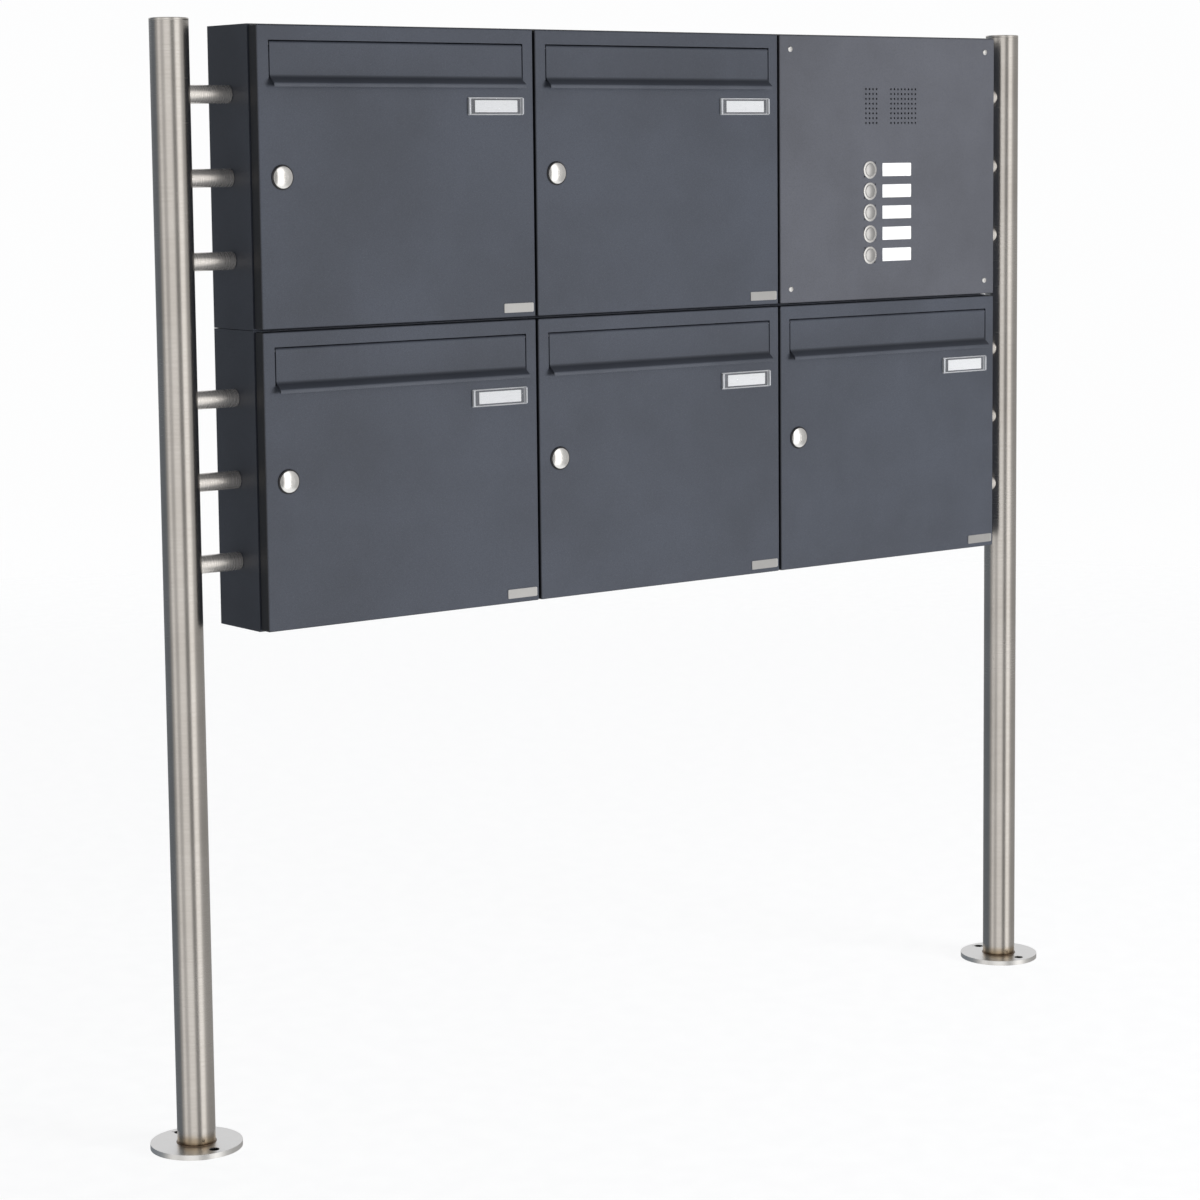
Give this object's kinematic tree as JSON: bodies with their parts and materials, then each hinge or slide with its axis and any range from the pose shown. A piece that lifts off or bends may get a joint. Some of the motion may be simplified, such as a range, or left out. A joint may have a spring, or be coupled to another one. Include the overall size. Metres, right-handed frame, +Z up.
{
  "type": "cluster mailbox unit",
  "caption": "Free-standing block of letterboxes with posting flaps and lockable doors, and a door-bell panel, hung by round struts between two stainless posts.",
  "frame": {"origin": "centre of the outer box at ground level, midway between the posts", "axes": "+X to the right along the fronts, fronts face -Y, +Z up"},
  "size_m": [1.3544, 0.1186, 1.24],
  "materials": {
    "powder_coat": "anthracite fine-structure powder coat, satin",
    "stainless": "ground stainless steel, fine lines",
    "nickel": "nickel plate, satin bright",
    "zinc_steel": "zinc-plated",
    "black_metal": "black, satin",
    "clear_plastic": "clear, polished",
    "white_label": "white card behind clear plastic",
    "black_plastic": "moulded, matt"
  },
  "bodies": {
    "root": {"casing_1": "powder_coat", "casing_2": "powder_coat", "casing_3": "powder_coat", "casing_4": "powder_coat", "casing_5": "powder_coat", "door_hinge_pins": "zinc_steel", "bell_casing": "powder_coat", "bell_panel": "powder_coat", "panel_screws": "stainless", "speaker_module": "black_plastic", "bell_name_windows": "white_label", "button_housings": "stainless", "left_post": "stainless", "right_post": "stainless", "left_foot_plate": "stainless", "right_foot_plate": "stainless", "post_caps": "stainless", "struts": "stainless", "strut_bolts": "zinc_steel", "joining_bolts": "zinc_steel"},
    "door_1": {"door_1": "powder_coat", "flap_rod_1": "zinc_steel", "lock_housing_1": "black_metal", "name_plate_1": "clear_plastic"},
    "flap_1": {"flap_1": "powder_coat"},
    "lock_1": {"lock_cylinder_1": "nickel", "lock_cam_1": "zinc_steel"},
    "door_2": {"door_2": "powder_coat", "flap_rod_2": "zinc_steel", "lock_housing_2": "black_metal", "name_plate_2": "clear_plastic"},
    "flap_2": {"flap_2": "powder_coat"},
    "lock_2": {"lock_cylinder_2": "nickel", "lock_cam_2": "zinc_steel"},
    "door_3": {"door_3": "powder_coat", "flap_rod_3": "zinc_steel", "lock_housing_3": "black_metal", "name_plate_3": "clear_plastic"},
    "flap_3": {"flap_3": "powder_coat"},
    "lock_3": {"lock_cylinder_3": "nickel", "lock_cam_3": "zinc_steel"},
    "door_4": {"door_4": "powder_coat", "flap_rod_4": "zinc_steel", "lock_housing_4": "black_metal", "name_plate_4": "clear_plastic"},
    "flap_4": {"flap_4": "powder_coat"},
    "lock_4": {"lock_cylinder_4": "nickel", "lock_cam_4": "zinc_steel"},
    "door_5": {"door_5": "powder_coat", "flap_rod_5": "zinc_steel", "lock_housing_5": "black_metal", "name_plate_5": "clear_plastic"},
    "flap_5": {"flap_5": "powder_coat"},
    "lock_5": {"lock_cylinder_5": "nickel", "lock_cam_5": "zinc_steel"},
    "button_1": {"button_1": "stainless"},
    "button_2": {"button_2": "stainless"},
    "button_3": {"button_3": "stainless"},
    "button_4": {"button_4": "stainless"},
    "button_5": {"button_5": "stainless"}
  },
  "joints": [
    {"name": "door_1_swing", "type": "hinge", "parent": "root", "child": "door_1", "pos_m": [-0.192, -0.04475, 1.069], "axis": [0, 0, 1], "range_deg": [0, 90]},
    {"name": "flap_1_lift", "type": "hinge", "parent": "door_1", "child": "flap_1", "pos_m": [-0.37, -0.04747, 1.21222], "axis": [-1, 0, 0], "range_deg": [0, 80]},
    {"name": "lock_1_turn", "type": "hinge", "parent": "door_1", "child": "lock_1", "pos_m": [-0.5245, -0.05025, 1.069], "axis": [0, 1, 0], "range_deg": [0, 90]},
    {"name": "door_2_swing", "type": "hinge", "parent": "root", "child": "door_2", "pos_m": [0.178, -0.04475, 1.069], "axis": [0, 0, 1], "range_deg": [0, 90]},
    {"name": "flap_2_lift", "type": "hinge", "parent": "door_2", "child": "flap_2", "pos_m": [0, -0.04747, 1.21222], "axis": [-1, 0, 0], "range_deg": [0, 80]},
    {"name": "lock_2_turn", "type": "hinge", "parent": "door_2", "child": "lock_2", "pos_m": [-0.1545, -0.05025, 1.069], "axis": [0, 1, 0], "range_deg": [0, 90]},
    {"name": "door_3_swing", "type": "hinge", "parent": "root", "child": "door_3", "pos_m": [-0.192, -0.04475, 0.739], "axis": [0, 0, 1], "range_deg": [0, 90]},
    {"name": "flap_3_lift", "type": "hinge", "parent": "door_3", "child": "flap_3", "pos_m": [-0.37, -0.04747, 0.88222], "axis": [-1, 0, 0], "range_deg": [0, 80]},
    {"name": "lock_3_turn", "type": "hinge", "parent": "door_3", "child": "lock_3", "pos_m": [-0.5245, -0.05025, 0.739], "axis": [0, 1, 0], "range_deg": [0, 90]},
    {"name": "door_4_swing", "type": "hinge", "parent": "root", "child": "door_4", "pos_m": [0.178, -0.04475, 0.739], "axis": [0, 0, 1], "range_deg": [0, 90]},
    {"name": "flap_4_lift", "type": "hinge", "parent": "door_4", "child": "flap_4", "pos_m": [0, -0.04747, 0.88222], "axis": [-1, 0, 0], "range_deg": [0, 80]},
    {"name": "lock_4_turn", "type": "hinge", "parent": "door_4", "child": "lock_4", "pos_m": [-0.1545, -0.05025, 0.739], "axis": [0, 1, 0], "range_deg": [0, 90]},
    {"name": "door_5_swing", "type": "hinge", "parent": "root", "child": "door_5", "pos_m": [0.548, -0.04475, 0.739], "axis": [0, 0, 1], "range_deg": [0, 90]},
    {"name": "flap_5_lift", "type": "hinge", "parent": "door_5", "child": "flap_5", "pos_m": [0.37, -0.04747, 0.88222], "axis": [-1, 0, 0], "range_deg": [0, 80]},
    {"name": "lock_5_turn", "type": "hinge", "parent": "door_5", "child": "lock_5", "pos_m": [0.2155, -0.05025, 0.739], "axis": [0, 1, 0], "range_deg": [0, 90]},
    {"name": "button_1_push", "type": "slide", "parent": "root", "child": "button_1", "axis": [0, 1, 0], "range_m": [0, 0.0015], "stiffness_N_per_m": 400, "springref_m": -0.002},
    {"name": "button_2_push", "type": "slide", "parent": "root", "child": "button_2", "axis": [0, 1, 0], "range_m": [0, 0.0015], "stiffness_N_per_m": 400, "springref_m": -0.002},
    {"name": "button_3_push", "type": "slide", "parent": "root", "child": "button_3", "axis": [0, 1, 0], "range_m": [0, 0.0015], "stiffness_N_per_m": 400, "springref_m": -0.002},
    {"name": "button_4_push", "type": "slide", "parent": "root", "child": "button_4", "axis": [0, 1, 0], "range_m": [0, 0.0015], "stiffness_N_per_m": 400, "springref_m": -0.002},
    {"name": "button_5_push", "type": "slide", "parent": "root", "child": "button_5", "axis": [0, 1, 0], "range_m": [0, 0.0015], "stiffness_N_per_m": 400, "springref_m": -0.002}
  ]
}
